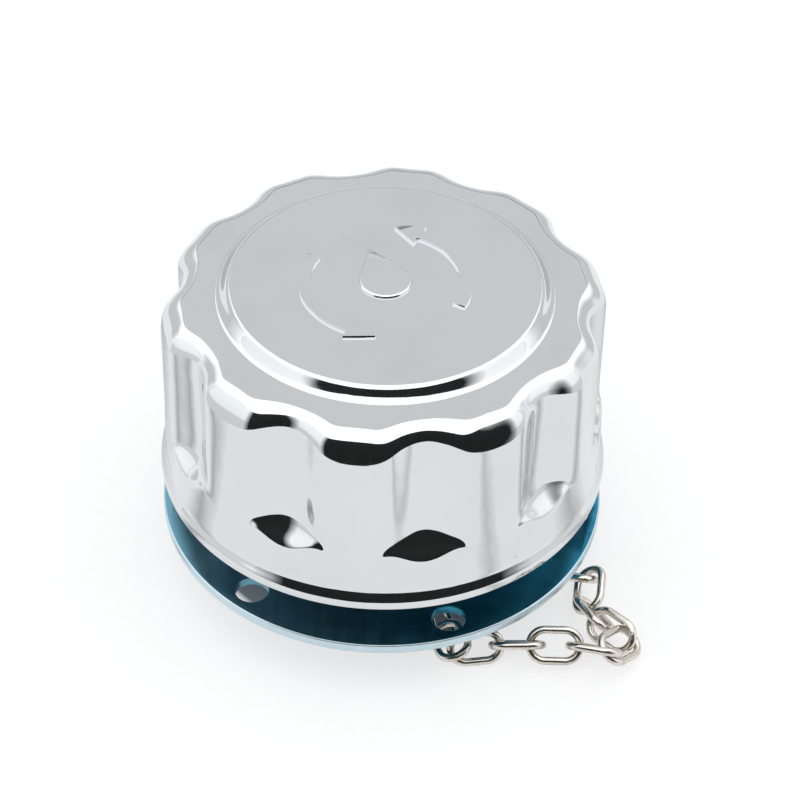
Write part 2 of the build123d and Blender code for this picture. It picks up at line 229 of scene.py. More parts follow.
class Recipe:
    """The node tree of one material or of the world."""

    def __init__(self, name, world=False):
        owner = bpy.data.worlds.new(name) if world else bpy.data.materials.new(name)
        owner.use_nodes = True
        self.owner, self.tree = owner, owner.node_tree
        self.tree.nodes.clear()

    def node(self, kind, sockets=None, output=0, **settings):
        """Adds a node with its settings, and fills its sockets with values or other nodes' outputs."""
        made = self.tree.nodes.new(kind)
        for key, value in settings.items():
            setattr(made, key, value)
        for key, value in (sockets or {}).items():
            socket = made.inputs[key]
            if isinstance(value, Value):
                self.tree.links.new(value.socket, socket)
            elif socket.type == "RGBA" and len(value) == 3:
                socket.default_value = (*value, 1)
            else:
                socket.default_value = value
        return Value(self, made.outputs[output])

    def place(self, scale=(1, 1, 1), turn=(0, 0, 0)):
        """Object coordinates in millimetres, stretched or turned by a Mapping node."""
        raw = self.node("ShaderNodeTexCoord", output="Object")
        factor = tuple(share / MM for share in scale)
        return self.node("ShaderNodeMapping", {"Vector": raw, "Scale": factor, "Rotation": turn})

    def axis(self, which):
        """One Object coordinate in millimetres, as a plain number."""
        return self.node("ShaderNodeSeparateXYZ", {0: self.place()}, output=which)

    def bearing(self):
        """Compass angle from the front, in radians, positive towards the right."""
        return self.node("ShaderNodeMath", {0: self.axis(0), 1: self.axis(1) * -1.0}, operation="ARCTAN2")

    def noise(self, at, scale, detail=3.0, rough=0.55):
        sockets = {"Vector": at, "Scale": scale, "Detail": detail, "Roughness": rough}
        return self.node("ShaderNodeTexNoise", sockets)

    def blend(self, factor, first, second):
        """A colour between two colours."""
        made = self.tree.nodes.new("ShaderNodeMix")
        made.data_type = "RGBA"
        for number, value in ((0, factor), (6, first), (7, second)):
            socket = made.inputs[number]
            if isinstance(value, Value):
                self.tree.links.new(value.socket, socket)
            elif socket.type == "RGBA":
                socket.default_value = (*value, 1)
            else:
                socket.default_value = value
        return Value(self, made.outputs[2])

    def bump(self, height, strength, distance, under=None):
        sockets = {"Height": height, "Strength": strength, "Distance": distance}
        if under:
            sockets["Normal"] = under
        return self.node("ShaderNodeBump", sockets)

    def surface(self, **sockets):
        """Closes the material with one Principled shader."""
        named = {word.replace("_", " "): value for word, value in sockets.items()}
        shader = self.node("ShaderNodeBsdfPrincipled", named)
        self.node_out("ShaderNodeOutputMaterial", shader)
        return self.owner

    def node_out(self, kind, shader):
        end = self.tree.nodes.new(kind)
        self.tree.links.new(shader.socket, end.inputs["Surface"])


print("sketchbook ready")

# %% [markdown]
# ## Bright chrome
# Decorative chrome is a mirror. What tells it from a perfect mirror is small: the pressed
# sheet under it is faintly wavy, wiping leaves hair-fine marks, and handling leaves a thin
# haze. A single roughness value looks like glass balls in a game, so roughness comes from
# noise at two scales and a very weak bump carries the waviness of the sheet.

# %% Mix the chrome


def mix_chrome():
    make = Recipe("bright_chrome")
    haze = make.noise(make.place(), 0.045, 4.0)
    wipe = make.noise(make.place((0.25, 0.25, 2.4), (0.3, 0.2, 0.4)), 1.6, 6.0, 0.7)
    cloud = make.noise(make.place(), 0.16, 2.0)
    sheet = make.noise(make.place(), 0.11, 2.0)
    colour = make.blend(haze.above(0.5, 0.5), (0.655, 0.675, 0.69), (0.70, 0.715, 0.725))
    rough = 0.018 + haze * 0.03 + wipe * cloud * 0.03
    waves = make.bump(sheet, 0.22, 0.0006)
    marks = make.bump(wipe, 0.035, 0.00003, waves)
    return make.surface(Base_Color=colour, Metallic=1.0, Roughness=rough, Normal=marks)


chrome = mix_chrome()
print("mixed", chrome.name)

# %% [markdown]
# ## Blue zinc plate
# The flange is plain steel dipped in a zinc bath with a deep blue passivate. Its colour is paler and greyer
# towards the left. Towards the front it is darker, with faint streaks: that is painted shade, standing in for
# the dark inside of the cap that the plate mirrors there. It also has clouds of tint, and fine pale specks
# that are a painted sparkle. Round the cut edge a thin, nearly white band is a painted highlight. Place and
# distance from the middle set the large changes, and noise at four scales sets the small ones.

# %% Mix the zinc plates
# radius in mm where the painted highlight round the cut edge begins
FLANGE_RIM_HIGHLIGHT_FROM = 41.22


def mix_blue_zinc():
    make = Recipe("blue_zinc_plate")
    at = make.place()
    across, depth = make.axis(0), make.axis(1)
    radius = (across ** 2.0 + depth ** 2.0) ** 0.5
    pool = make.noise(at, 0.09, 3.0)
    cloud = make.noise(at, 0.35, 5.0, 0.65)
    grain = make.noise(make.place((1.0, 0.12, 1.0)), 5.0, 3.0, 0.6)
    streak = make.noise(make.place((1.0, 0.05, 1.0)), 0.55, 3.0, 0.6)
    deep = make.blend(pool.above(0.5, 0.35), (0.014, 0.150, 0.26), (0.030, 0.29, 0.44))
    # the plate is blended paler and greyer towards the left
    leftward = (across + depth * 0.6) * -1.0
    steel = make.blend(leftward.above(26.0, 34.0) * 0.8, deep, (0.20, 0.40, 0.50))
    tint = make.blend(cloud.above(0.62, 0.3) * 0.4, steel, (0.10, 0.42, 0.55))
    # painted shade: darker towards the front, with faint streaks, standing in for the dark inside of the cap
    # that the plate mirrors
    painted_front_shade = (depth * -1.0).above(30.0, 20.0)
    shade = make.blend(painted_front_shade * (0.30 + streak * 0.65), tint, (0.004, 0.040, 0.065))
    # painted sparkle: fine pale specks blended into the colour
    speck = make.noise(at, 9.0, 2.0).above(0.66, 0.1)
    painted_sparkle = make.blend(speck * 0.2, shade, (0.35, 0.62, 0.72))
    # painted highlight: a thin, nearly white band round the cut edge
    painted_rim_highlight = radius.above(FLANGE_RIM_HIGHLIGHT_FROM, 0.10) * (0.65 + cloud * 0.35)
    colour = make.blend(painted_rim_highlight, painted_sparkle, (0.62, 0.74, 0.79))
    rough = 0.20 + cloud * 0.14 + grain * 0.08
    relief = make.bump(grain * 0.4 + cloud * 0.6, 0.2, 0.00008)
    return make.surface(Base_Color=colour, Metallic=0.92, Roughness=rough, Normal=relief)


def mix_clear_zinc(name="clear_zinc_plate", dark=(0.40, 0.42, 0.44), pale=(0.66, 0.69, 0.72), gloss=0.24):
    make = Recipe(name)
    at = make.place()
    cloud = make.noise(at, 0.5, 4.0)
    grain = make.noise(make.place((1.0, 1.0, 0.15)), 4.0, 4.0, 0.65)
    colour = make.blend(cloud.above(0.5, 0.6), dark, pale)
    tinged = make.blend(grain.above(0.6, 0.3) * 0.25, colour, (0.62, 0.66, 0.60))
    rough = gloss + cloud * 0.12 + grain * 0.08
    relief = make.bump(grain, 0.15, 0.00006)
    return make.surface(Base_Color=tinged, Metallic=0.95, Roughness=rough, Normal=relief)


blue_zinc = mix_blue_zinc()
clear_zinc = mix_clear_zinc()
spring_steel = mix_clear_zinc("drawn_spring_steel", (0.20, 0.20, 0.21), (0.42, 0.42, 0.43), 0.28)
print("mixed", blue_zinc.name, clear_zinc.name, spring_steel.name)

# %% [markdown]
# ## Nickel wire
# The chain is bent from drawn wire and nickel plated in a barrel, all the links tumbling
# together. Nickel is a warmer white than chrome, slightly golden. The tumbling leaves tiny
# nicks, and brown tarnish starts in the nooks where one link rubs the next.

# %% Mix the nickel


def mix_nickel():
    make = Recipe("barrel_nickel")
    at = make.place()
    tarnish = make.noise(at, 0.32, 4.0)
    nick = make.noise(at, 2.6, 4.0, 0.6)
    clean = make.blend(nick.above(0.45, 0.5), (0.60, 0.555, 0.50), (0.74, 0.70, 0.645))
    colour = make.blend(tarnish.above(0.63, 0.2) * 0.55, clean, (0.33, 0.27, 0.20))
    rough = 0.10 + tarnish * 0.12 + nick * 0.07
    relief = make.bump(nick, 0.22, 0.0001)
    return make.surface(Base_Color=colour, Metallic=1.0, Roughness=rough, Normal=relief)


nickel = mix_nickel()
print("mixed", nickel.name)

# %% [markdown]
# ## Rubber and filter paper
# The seals are moulded nitrile rubber: nearly black, matt, with a soft grain and a little
# grey dust. The breather element is folded paper soaked in resin, straw coloured, with
# fibres that run every way.

# %% Mix the soft parts' finishes


def mix_rubber():
    make = Recipe("nitrile_rubber")
    at = make.place()
    grain = make.noise(at, 3.0, 5.0, 0.7)
    dust = make.noise(at, 0.3, 3.0)
    colour = make.blend(dust.above(0.6, 0.4) * 0.5, (0.016, 0.016, 0.017), (0.06, 0.06, 0.058))
    rough = 0.52 + dust * 0.2 + grain * 0.1
    return make.surface(Base_Color=colour, Roughness=rough, Normal=make.bump(grain, 0.35, 0.0001))


def mix_paper():
    make = Recipe("pleated_filter_paper")
    at = make.place()
    fibre = make.noise(make.place((2.6, 2.6, 0.5)), 1.2, 6.0, 0.75)
    stain = make.noise(at, 0.08, 3.0)
    plain = make.blend(fibre.above(0.5, 0.5), (0.50, 0.38, 0.19), (0.72, 0.60, 0.36))
    colour = make.blend(stain.above(0.6, 0.4) * 0.4, plain, (0.40, 0.28, 0.13))
    return make.surface(Base_Color=colour, Roughness=0.8 + fibre * 0.15, Normal=make.bump(fibre, 0.4, 0.0002))


rubber = mix_rubber()
paper = mix_paper()
print("mixed", rubber.name, paper.name)

# %% [markdown]
# ## Tools for modelling
# Four habits make edit-mode modelling safe in a script: deselect everything first, work on
# one object only, choose vertices by where they are, and give `transform` operators their
# centre outright. The helpers below hold those habits.

# %% Edit-mode helpers


def deselect_everything():
    if bpy.context.object and bpy.context.object.mode != "OBJECT":
        bpy.ops.object.mode_set(mode="OBJECT")
    for item in bpy.context.scene.objects:
        item.select_set(False)


def pick(piece):
    """Makes this the only selected object, and the active one."""
    deselect_everything()
    piece.select_set(True)
    bpy.context.view_layer.objects.active = piece


def start_editing(piece):
    pick(piece)
    bpy.ops.object.mode_set(mode="EDIT")
    bpy.ops.mesh.select_mode(type="VERT")


def choose(piece, test):
    """Selects the vertices of the edited mesh that pass the test."""
    mesh = bmesh.from_edit_mesh(piece.data)
    bpy.ops.mesh.select_all(action="DESELECT")
    for vertex in mesh.verts:
        if test(vertex.co):
            vertex.select_set(True)
    mesh.select_flush(True)
    bmesh.update_edit_mesh(piece.data)


def add_modifier(piece, kind, **settings):
    modifier = piece.modifiers.new(kind.lower(), kind)
    for key, value in settings.items():
        setattr(modifier, key, value)
    bpy.context.view_layer.objects.active = piece
    bpy.ops.object.modifier_apply(modifier=modifier.name)


def finish_piece(piece, name, body, material, stands_for=()):
    """Names a piece, gives it its finish and ties it to its body."""
    deselect_everything()
    piece.name = piece.data.name = name
    piece.data.materials.clear()
    piece.data.materials.append(material)
    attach(piece, body)
    if stands_for:
        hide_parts(*stands_for)
    triangles = sum(len(face.vertices) - 2 for face in piece.data.polygons)
    print(f"{name}: {triangles} triangles on {body}")
    return piece


def smooth(piece, angle=None):
    """Smooth shading, with edges sharper than the angle left crisp where one is given."""
    pick(piece)
    if angle is None:
        bpy.ops.object.shade_smooth()
    else:
        bpy.ops.object.shade_smooth_by_angle(angle=radians(angle))


print("helpers ready")

# %% [markdown]
# ## The cap's outline
# Seen from above the cap is a circle with ten finger flutes. Each flute is an arc pressed
# in from outside, and each shoulder between two flutes is rolled over. One function gives
# the outline's radius at any angle from the middle of a flute. A second one answers where
# the outline is after it has been drawn in by a set distance, which is what the rolled
# upper edge needs: scaling towards the centre would make that roll too thin on the flanks
# of a flute.

# %% Work out the outline
LOBES = 10
LOBE_TURN = -7.0
SKIRT_R = 40.5
LIP_R = 41.5
CREST_R = 40.3
FLUTE_DEPTH = 3.4
FLUTE_R = 8.0
BLEND_R = 5.2
COLUMNS = 12
MARK_RISE = 0.5
DISC_RISE = 2.3
SKIRT_FOOT = level("cap_shell", top=False)
DISC_Z = level("cap_shell") - MARK_RISE
RIM_Z = DISC_Z - DISC_RISE


def outline_radius(angle):
    """Radius in mm of the fluted wall at an angle in radians from a flute's middle."""
    flute_centre = CREST_R - FLUTE_DEPTH + FLUTE_R
    ring = CREST_R - BLEND_R
    reach = FLUTE_R + BLEND_R
    blend_turn = (flute_centre ** 2 + ring ** 2 - reach ** 2) / (2 * flute_centre * ring)
    blend_angle = atan2(sqrt(1 - blend_turn ** 2), blend_turn)
    blend_at = Vector((ring * cos(blend_angle), ring * sin(blend_angle)))
    touch = (Vector((flute_centre, 0)) * BLEND_R + blend_at * FLUTE_R) / reach
    touch_angle = atan2(touch.y, touch.x)
    angle = abs(angle)
    if angle >= blend_angle:
        return CREST_R
    if angle <= touch_angle:
        return flute_centre * cos(angle) - sqrt(FLUTE_R ** 2 - (flute_centre * sin(angle)) ** 2)
    off = angle - blend_angle
    return ring * cos(off) + sqrt(BLEND_R ** 2 - (ring * sin(off)) ** 2)


OUTLINE = []
for step in range(-90, 91):
    sweep = step / 90 * pi / LOBES * 1.5
    fold = (sweep + pi / LOBES) % (TAU / LOBES) - pi / LOBES
    OUTLINE.append(Vector((outline_radius(fold) * cos(sweep), outline_radius(fold) * sin(sweep))))


def inset_radius(angle, inset):
    """Radius of the outline at this angle after drawing it in by an inset."""
    if inset <= 0:
        return outline_radius(angle)
    low, high = 10.0, outline_radius(angle)
    for _ in range(30):
        middle = (low + high) / 2
        spot = Vector((middle * cos(angle), middle * sin(angle)))
        if min((spot - point).length for point in OUTLINE) >= inset:
            low = middle
        else:
            high = middle
    return low


print("outline from", round(outline_radius(0), 2), "to", round(outline_radius(pi / LOBES), 2), "mm")

# %% [markdown]
# ## Rows of the shell
# The shell is a cage of rings for a subdivision surface, from the rolled lip at the bottom
# up to the middle of the disc. A subdivision surface suits plated sheet: reflections run
# over it without a break, as they do on a real pressing. Each row says, for every column
# of a flute, how far out and how high its vertex lies. Each flute ends in a scooped
# thumb-shaped hollow, so the rows near it bow down in the middle and close at the sides.

# %% Describe the rows
PHASES = COLUMNS // 2 + 1
PHASE_ANGLES = [TAU / LOBES * phase / COLUMNS for phase in range(PHASES)]

# drawn in from the lip, height over the foot
LIP_PROFILE = ((0.32, 0.0), (0.0, 0.25), (0.0, 1.1), (0.05, 1.9), (0.65, 2.9))
SKIRT_HEIGHTS = (3.9, 4.9)

# the hollow's lower edge, its tips at the sides and its upper edge
HOLLOW_LOW = SKIRT_FOOT + 10.8
HOLLOW_TIP = SKIRT_FOOT + 14.3
HOLLOW_HIGH = SKIRT_FOOT + 18.8
HOLLOW_HALF_WIDTH = 2.95
HOLLOW_PINCH = 0.35
# share of the way out from flute to skirt, share of the way up
HOLLOW_PROFILE = ((1.0, -0.10), (0.93, 0.04), (0.50, 0.20), (0.14, 0.45), (0.0, 0.85))
# beside the hollow the rows stand further apart, so that its tips fade into the wall
HOLLOW_SPREAD = (1.0, 1.0, 1.0, 4.0, 9.0, 11.0, 12.0)
FIRST_SHOULDER_PHASE = 4
SHOULDER_SINK = 0.1

WALL_START = HOLLOW_HIGH + 1.9
WALL_SHARES = (0.0, 0.2, 0.5, 0.8, 0.95)

# the roll's size in a flute and on a shoulder
ROLL_IN = (3.2, 4.6)
ROLL_DOWN = (2.9, 6.0)
ROLL_TURNS = (12, 32, 52, 70, 84)
SHOULDER_INNER_R = 34.2

# radius, height over the shoulder
DISC_STEP = ((31.0, 0.0), (30.35, 0.0), (29.75, 0.25), (28.95, 1.15), (28.3, 2.1))
DISC_RADII = (27.75, 26.9, 22.0, 12.0, 3.0)


def even_row(radius, height):
    return [(radius, height)] * PHASES


def across_flute(phase, ends):
    """A size that changes smoothly from the middle of a flute to the middle of a shoulder."""
    share = 0.5 - 0.5 * cos(pi * phase / (PHASES - 1))
    return ends[0] + (ends[1] - ends[0]) * share


def hollow_row(share_out, share_up):
    """A row across the flutes' feet, between flute and skirt and between lower and upper edge."""
    row = []
    for phase, angle in enumerate(PHASE_ANGLES):
        side = min(phase / HOLLOW_HALF_WIDTH, 1.0)
        low = HOLLOW_LOW + (HOLLOW_TIP - HOLLOW_PINCH - HOLLOW_LOW) * side ** 2
        high = HOLLOW_HIGH + (HOLLOW_TIP + HOLLOW_PINCH - HOLLOW_HIGH) * side ** 2
        middle = (low + high) / 2
        height = middle + ((low + (high - low) * share_up) - middle) * HOLLOW_SPREAD[phase]
        inner = outline_radius(angle)
        outer = SKIRT_R if phase < FIRST_SHOULDER_PHASE else SKIRT_R - SHOULDER_SINK
        row.append((inner + (outer - inner) * share_out, height))
    return row


def wall_row(share):
    """A row up the plain part of the wall: 0 just over the hollow, 1 where the edge starts to roll."""
    row = []
    for phase, angle in enumerate(PHASE_ANGLES):
        wall_end = RIM_Z - across_flute(phase, ROLL_DOWN)
        row.append((outline_radius(angle), WALL_START + (wall_end - WALL_START) * share))
    return row


def rolled_row(turn):
    """A row of the rolled upper edge, at an angle in degrees round the roll."""
    row = []
    for phase, angle in enumerate(PHASE_ANGLES):
        inward = across_flute(phase, ROLL_IN) * (1 - cos(radians(turn)))
        upward = across_flute(phase, ROLL_DOWN) * (sin(radians(turn)) - 1)
        row.append((inset_radius(angle, inward), RIM_Z + upward))
    return row


def shoulder_row():
    """The first flat row inside the roll."""
    row = []
    for phase, angle in enumerate(PHASE_ANGLES):
        roll_end = inset_radius(angle, across_flute(phase, ROLL_IN) + 0.5)
        row.append((min(roll_end, SHOULDER_INNER_R), RIM_Z))
    return row


def shell_rows():
    rows = [even_row(LIP_R - inward, SKIRT_FOOT + height) for inward, height in LIP_PROFILE]
    rows += [even_row(SKIRT_R, SKIRT_FOOT + height) for height in SKIRT_HEIGHTS]
    rows += [hollow_row(share_out, share_up) for share_out, share_up in HOLLOW_PROFILE]
    rows += [wall_row(share) for share in WALL_SHARES]
    rows += [rolled_row(turn) for turn in ROLL_TURNS]
    rows.append(shoulder_row())
    rows += [even_row(radius, RIM_Z + height) for radius, height in DISC_STEP]
    rows += [even_row(radius, DISC_Z) for radius in DISC_RADII]
    return rows


rows = shell_rows()
print(len(rows), "rows of", LOBES * COLUMNS, "vertices")

# %% [markdown]
# ## Press the shell
# The first ring is a circle at the lip. Each new ring is extruded from the last one, then
# its columns are chosen in turn, scaled about the axis and lifted to their places, as one
# would do by hand with the scale and move tools. Ten flutes share seven kinds of column,
# so seven moves place a ring of 120 vertices. Subdivision smooths the cage, and Solidify
# gives the sheet its thickness on the inside, so the outside keeps its size.

# %% Model the cap shell
SHEET_THICKNESS = 0.98


def press_shell(rows):
    deselect_everything()
    start_r, start_z = rows[0][0]
    bpy.ops.mesh.primitive_circle_add(vertices=LOBES * COLUMNS, radius=start_r, location=(0, 0, start_z))
    shell = bpy.context.object
    bpy.ops.object.transform_apply(location=True, rotation=True, scale=True)
    start_editing(shell)
    bpy.ops.mesh.select_all(action="SELECT")
    previous = rows[0]
    for row in rows[1:]:
        bpy.ops.mesh.extrude_region_move(TRANSFORM_OT_translate={"value": (0, 0, 0)})
        mesh = bmesh.from_edit_mesh(shell.data)
        ring = [v.index for v in mesh.verts if v.select]
        for phase in range(PHASES):
            mesh = bmesh.from_edit_mesh(shell.data)
            mesh.verts.ensure_lookup_table()
            bpy.ops.mesh.select_all(action="DESELECT")
            for index in ring:
                spot = mesh.verts[index].co
                turn = atan2(spot.y, spot.x) - pi / 2
                column = round(turn / TAU * LOBES * COLUMNS) % COLUMNS
                if min(column, COLUMNS - column) == phase:
                    mesh.verts[index].select_set(True)
            (old_r, old_z), (new_r, new_z) = previous[phase], row[phase]
            bpy.ops.transform.resize(value=(new_r / old_r, new_r / old_r, 1), center_override=(0, 0, 0))
            bpy.ops.transform.translate(value=(0, 0, new_z - old_z))
        mesh = bmesh.from_edit_mesh(shell.data)
        mesh.verts.ensure_lookup_table()
        for index in ring:
            mesh.verts[index].select_set(True)
        mesh.select_flush(True)
        bmesh.update_edit_mesh(shell.data)
        previous = row
    bpy.ops.mesh.merge(type="CENTER")
    bpy.ops.mesh.select_all(action="SELECT")
    bpy.ops.mesh.normals_make_consistent(inside=False)
    bpy.ops.object.mode_set(mode="OBJECT")
    return shell


def scale_and_turn(piece, turn):
    """Brings a piece modelled in millimetres to metres and turns it about the axis, both in its mesh."""
    pick(piece)
    piece.scale = (MM, MM, MM)
    piece.rotation_euler = (0, 0, turn)
    bpy.ops.object.transform_apply(location=True, rotation=True, scale=True)


shell = press_shell(rows)
add_modifier(shell, "SUBSURF", levels=2, render_levels=2)
add_modifier(shell, "SOLIDIFY", thickness=SHEET_THICKNESS, offset=-1, use_even_offset=False)
scale_and_turn(shell, radians(LOBE_TURN + 180 / LOBES))
smooth(shell, 60)
finish_piece(shell, "chromed_cap_shell", "cap", chrome, ["cap_shell"])

# %% [markdown]
# ## The raised mark
# The disc carries a raised mark: a drop between two turning arrows. The drop starts as a
# circle whose upper vertices are merged into one and pulled up to a tip. Each arrow is an
# open arc extruded outwards into a band, with its last edge widened and then drawn to a
# point. Pressed metal has no sharp edges, so all of it gets a generous bevel.

# %% Model the raised mark
MARK_TURN = 19.0
MARK_ROOT = 0.6
DROP_R = 4.8
DROP_HEIGHT = 14.5
ARROW_R = 14.5
ARROW_WIDTH = 2.4
ARROW_HALF_ANGLE = 46.0
ARROW_HEAD = 5.6
ARROW_TIP_SHARE = 0.06
DROP_BEVEL = 0.42
ARROW_BEVEL = 0.40


def raise_and_soften(outline, bevel):
    """Turns a flat face on the disc into a low relief with round edges."""
    bpy.ops.mesh.select_all(action="SELECT")
    bpy.ops.mesh.extrude_region_move(TRANSFORM_OT_translate={"value": (0, 0, MARK_RISE + MARK_ROOT)})
    bpy.ops.mesh.select_all(action="SELECT")
    bpy.ops.mesh.normals_make_consistent(inside=False)
    bpy.ops.object.mode_set(mode="OBJECT")
    add_modifier(outline, "BEVEL", width=bevel, segments=4, limit_method="ANGLE", angle_limit=radians(50))


def model_drop():
    lean = DROP_R ** 2 / (DROP_HEIGHT - DROP_R)
    deselect_everything()
    bpy.ops.mesh.primitive_circle_add(vertices=64, radius=DROP_R, fill_type="NGON",
                                      location=(0, 0, DISC_Z - MARK_ROOT))
    drop = bpy.context.object
    bpy.ops.object.transform_apply(location=True, rotation=True, scale=True)
    start_editing(drop)
    choose(drop, lambda co: co.y > lean + 0.1)
    bpy.ops.mesh.merge(type="CENTER")
    mesh = bmesh.from_edit_mesh(drop.data)
    peak = max(v.co.y for v in mesh.verts)
    choose(drop, lambda co: co.y > peak - 0.01)
    bpy.ops.transform.translate(value=(0, DROP_HEIGHT - DROP_R - peak, 0))
    raise_and_soften(drop, DROP_BEVEL)
    return drop


def model_arrow(turn):
    inner, outer = ARROW_R - ARROW_WIDTH / 2, ARROW_R + ARROW_WIDTH / 2
    half = radians(ARROW_HALF_ANGLE)
    deselect_everything()
    bpy.ops.mesh.primitive_circle_add(vertices=180, radius=inner, location=(0, 0, DISC_Z - MARK_ROOT))
    arrow = bpy.context.object
    bpy.ops.object.transform_apply(location=True, rotation=True, scale=True)
    start_editing(arrow)
    choose(arrow, lambda co: abs(atan2(co.y, co.x)) > half + 0.001)
    bpy.ops.mesh.delete(type="VERT")
    bpy.ops.mesh.select_all(action="SELECT")
    bpy.ops.mesh.extrude_region_move(TRANSFORM_OT_translate={"value": (0, 0, 0)})
    bpy.ops.transform.resize(value=(outer / inner, outer / inner, 1), center_override=(0, 0, 0))
    end = Vector((ARROW_R * cos(half), ARROW_R * sin(half), DISC_Z - MARK_ROOT))
    ahead = Vector((-sin(half), cos(half), 0)) * ARROW_HEAD * 0.9
    choose(arrow, lambda co: atan2(co.y, co.x) > half - 0.001)
    bpy.ops.mesh.extrude_region_move(TRANSFORM_OT_translate={"value": ahead * 0.002})
    bpy.ops.transform.resize(value=(ARROW_HEAD / ARROW_WIDTH,) * 3, center_override=end)
    bpy.ops.mesh.extrude_region_move(TRANSFORM_OT_translate={"value": ahead})
    bpy.ops.transform.resize(value=(ARROW_TIP_SHARE,) * 3, center_override=end + ahead)
    raise_and_soften(arrow, ARROW_BEVEL)
    if turn:
        start_editing(arrow)
        bpy.ops.mesh.select_all(action="SELECT")
        bpy.ops.transform.rotate(value=turn, orient_axis="Z", center_override=(0, 0, 0))
        bpy.ops.object.mode_set(mode="OBJECT")
    return arrow


marks = [model_drop(), model_arrow(0), model_arrow(pi)]
for mark, name in zip(marks, ("raised_drop", "raised_arrow_right", "raised_arrow_left")):
    scale_and_turn(mark, radians(MARK_TURN))
    smooth(mark, 50)
    finish_piece(mark, name, "cap", chrome)

# %% [markdown]
# ## One link, seventeen times
# A link starts as a torus. Its two halves are pulled apart along its length, which leaves
# straight sides between two round ends. The number of segments is chosen so that no ring of
# vertices lies on the cut. The CAD model knows where each link lies: the long and the short
# way of its mesh give the link's axes, and a copy of the one modelled link is turned to them.

# %% Model the chain
WIRE_R = 0.75
LINK_LENGTH = 10.8
LINK_WIDTH = 7.2


def model_link():
    bend = LINK_WIDTH / 2 - WIRE_R
    stretch = (LINK_LENGTH - LINK_WIDTH) / 2
    deselect_everything()
    bpy.ops.mesh.primitive_torus_add(major_segments=50, minor_segments=20, major_radius=bend,
                                     minor_radius=WIRE_R, generate_uvs=True)
    link = bpy.context.object
    start_editing(link)
    for side in (-1, 1):
        choose(link, lambda co: co.x * side > 0)
        bpy.ops.transform.translate(value=(stretch * side, 0, 0))
    bpy.ops.mesh.select_all(action="SELECT")
    bpy.ops.mesh.normals_make_consistent(inside=False)
    bpy.ops.object.mode_set(mode="OBJECT")
    scale_and_turn(link, 0)
    smooth(link)
    return link


def lie_of(node):
    """Where a CAD node lies: a matrix with its long, middle and short way, and its middle."""
    item = frame["nodes"][node]
    spots = np.array([item.matrix_world @ face.center for face in item.data.polygons])
    weights = np.array([face.area for face in item.data.polygons])
    middle = (spots * weights[:, None]).sum(0) / weights.sum()
    spread = ((spots - middle) * weights[:, None]).T @ (spots - middle)
    ways = np.linalg.eigh(spread)[1]
    long, wide = Vector(ways[:, 2]), Vector(ways[:, 1])
    short = long.cross(wide)
    return Matrix.Translation(Vector(middle)) @ Matrix((long, wide, short)).transposed().to_4x4()


def lay_chain():
    model = model_link()
    for node in sorted(node for node in frame["nodes"] if node.startswith("chain_link_")):
        pick(model)
        bpy.ops.object.duplicate(linked=False)
        link = bpy.context.object
        link.matrix_world = lie_of(node)
        bpy.ops.object.transform_apply(location=True, rotation=True, scale=True)
        finish_piece(link, "wire_" + node, home_body(node), nickel, [node])
    pick(model)
    bpy.ops.object.delete()


lay_chain()

# %% [markdown]
# ## Edges on the stamped and turned parts
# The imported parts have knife-sharp edges, and nothing stamped or turned is that sharp. The
# flange most of all: its cut edge is what catches the light in a pale line. For these parts
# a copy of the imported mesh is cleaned: doubled vertices are merged and flat triangles are
# joined into whole faces. Then a bevel rounds each edge by an amount that suits how the
# part is made.

# %% Round the edges
MERGE_DISTANCE = 0.000002
FLAT_ANGLE = 0.6
SHARP_ANGLE = 40
# width of the rounding, slot and finish
EDGE_ROUNDING = {
    "filler_flange": (0.30, "blue_zinc", blue_zinc), "neck_sleeve": (0.15, "blue_zinc", blue_zinc),
    "cam_ring": (0.20, "blue_zinc", blue_zinc), "inner_pan": (0.18, "clear_zinc", clear_zinc),
    "bayonet_bar": (0.25, "clear_zinc", clear_zinc), "clamp_nut": (0.15, "clear_zinc", clear_zinc),
    "lock_nut": (0.15, "clear_zinc", clear_zinc), "thrust_washer": (0.20, "clear_zinc", clear_zinc),
    "spring_washer": (0.20, "clear_zinc", clear_zinc), "cap_gasket": (0.45, "rubber", rubber),
    "upper_filter_seal": (0.25, "rubber", rubber), "lower_filter_seal": (0.25, "rubber", rubber),
    "chain_anchor": (0.12, "nickel", nickel), "chain_swivel": (0.15, "nickel", nickel),
}


def clean_copy(node, join_flats):
    """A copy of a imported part's mesh, merged, and with its flat triangles joined where asked."""
    copy = frame["nodes"][node].copy()
    copy.data = copy.data.copy()
    bpy.context.collection.objects.link(copy)
    pick(copy)
    bpy.ops.object.transform_apply(location=True, rotation=True, scale=True)
    start_editing(copy)
    bpy.ops.mesh.select_all(action="SELECT")
    bpy.ops.mesh.remove_doubles(threshold=MERGE_DISTANCE)
    if join_flats:
        bpy.ops.mesh.dissolve_limited(angle_limit=radians(FLAT_ANGLE))
    bpy.ops.mesh.normals_make_consistent(inside=False)
    bpy.ops.object.mode_set(mode="OBJECT")
    return copy


def round_edges(node, width, material):
    piece = clean_copy(node, join_flats=True)
    add_modifier(piece, "BEVEL", width=width * MM, segments=3, limit_method="ANGLE",
                 angle_limit=radians(SHARP_ANGLE), use_clamp_overlap=True)
    smooth(piece, 32)
    finish_piece(piece, "finished_" + node, home_body(node), material, [node])


for node, (width, slot, material) in EDGE_ROUNDING.items():
    round_edges(node, width, material)

# %% [markdown]
# ## The spring
# The spring under the bayonet bar is squeezed as the bar is drawn down, so its coils come closer. A
# smooth-shaded copy of its mesh, with its own mesh data, takes the place of the imported one.


def fit_spring():
    spring = clean_copy("bar_spring", join_flats=False)
    smooth(spring, 50)
    finish_piece(spring, "coiled_spring", "cap", spring_steel, ["bar_spring"])
    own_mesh(spring)


fit_spring()

